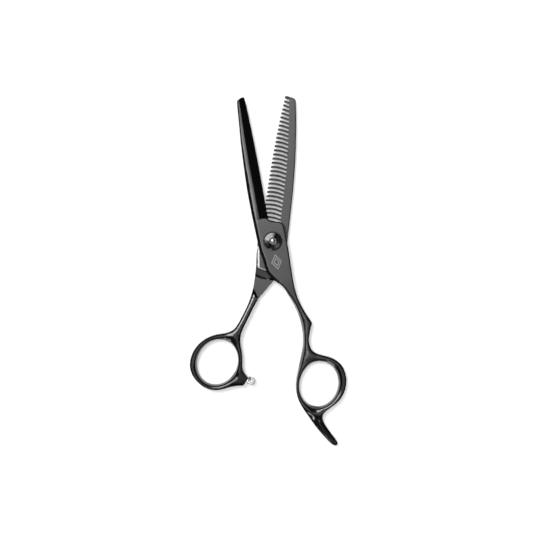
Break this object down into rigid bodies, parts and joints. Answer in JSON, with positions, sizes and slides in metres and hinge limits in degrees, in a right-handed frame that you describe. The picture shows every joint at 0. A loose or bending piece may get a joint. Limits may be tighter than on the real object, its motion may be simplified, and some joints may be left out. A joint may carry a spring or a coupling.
{
  "type": "thinning shears",
  "caption": "Thinning shears: knife blade over curved-tooth comb blade on an adjustable dial pivot, offset handles, fixed finger rest, clear bumper.",
  "frame": {"origin": "on the pivot axis, at the flat flush head of the pivot bolt, in the plane that the closed or open shears lie on", "axes": "+Z along the pivot axis from the flush bolt head to the tension dial; +Y along the blades to their tips; +X to the side of the finger ring with the finger rest"},
  "size_m": [0.0734, 0.1647, 0.0084],
  "materials": {
    "coated_steel": "black coated stainless steel, satin on the flats and polished on bevels, ground face and handles",
    "pivot_steel": "dark turned steel",
    "washer_polymer": "plain off-white bearing polymer",
    "spring_steel": "bright spring steel",
    "dial_steel": "black coated, turned in fine rings and polished",
    "stud_steel": "polished",
    "clear_silicone": "clear, soft, slightly frosted"
  },
  "bodies": {
    "lower_half": {"toothed_half": "coated_steel", "pivot_bolt": "pivot_steel", "friction_washer": "washer_polymer", "click_plate": "spring_steel", "leaf_spring": "spring_steel", "bumper_stud": "stud_steel", "bumper_cap": "clear_silicone"},
    "upper_half": {"plain_half": "coated_steel", "pivot_bush": "washer_polymer"},
    "dial": {"tension_dial": "dial_steel"}
  },
  "joints": [
    {"name": "blade_pivot", "type": "hinge", "parent": "lower_half", "child": "upper_half", "pos_m": [0, 0, 0.00315], "axis": [0, 0, 1], "range_deg": [-16, 74]},
    {"name": "dial_turn", "type": "hinge", "parent": "lower_half", "child": "dial", "pos_m": [0, 0, 0.0075], "axis": [0, 0, 1], "range_deg": [-180, 180]}
  ]
}
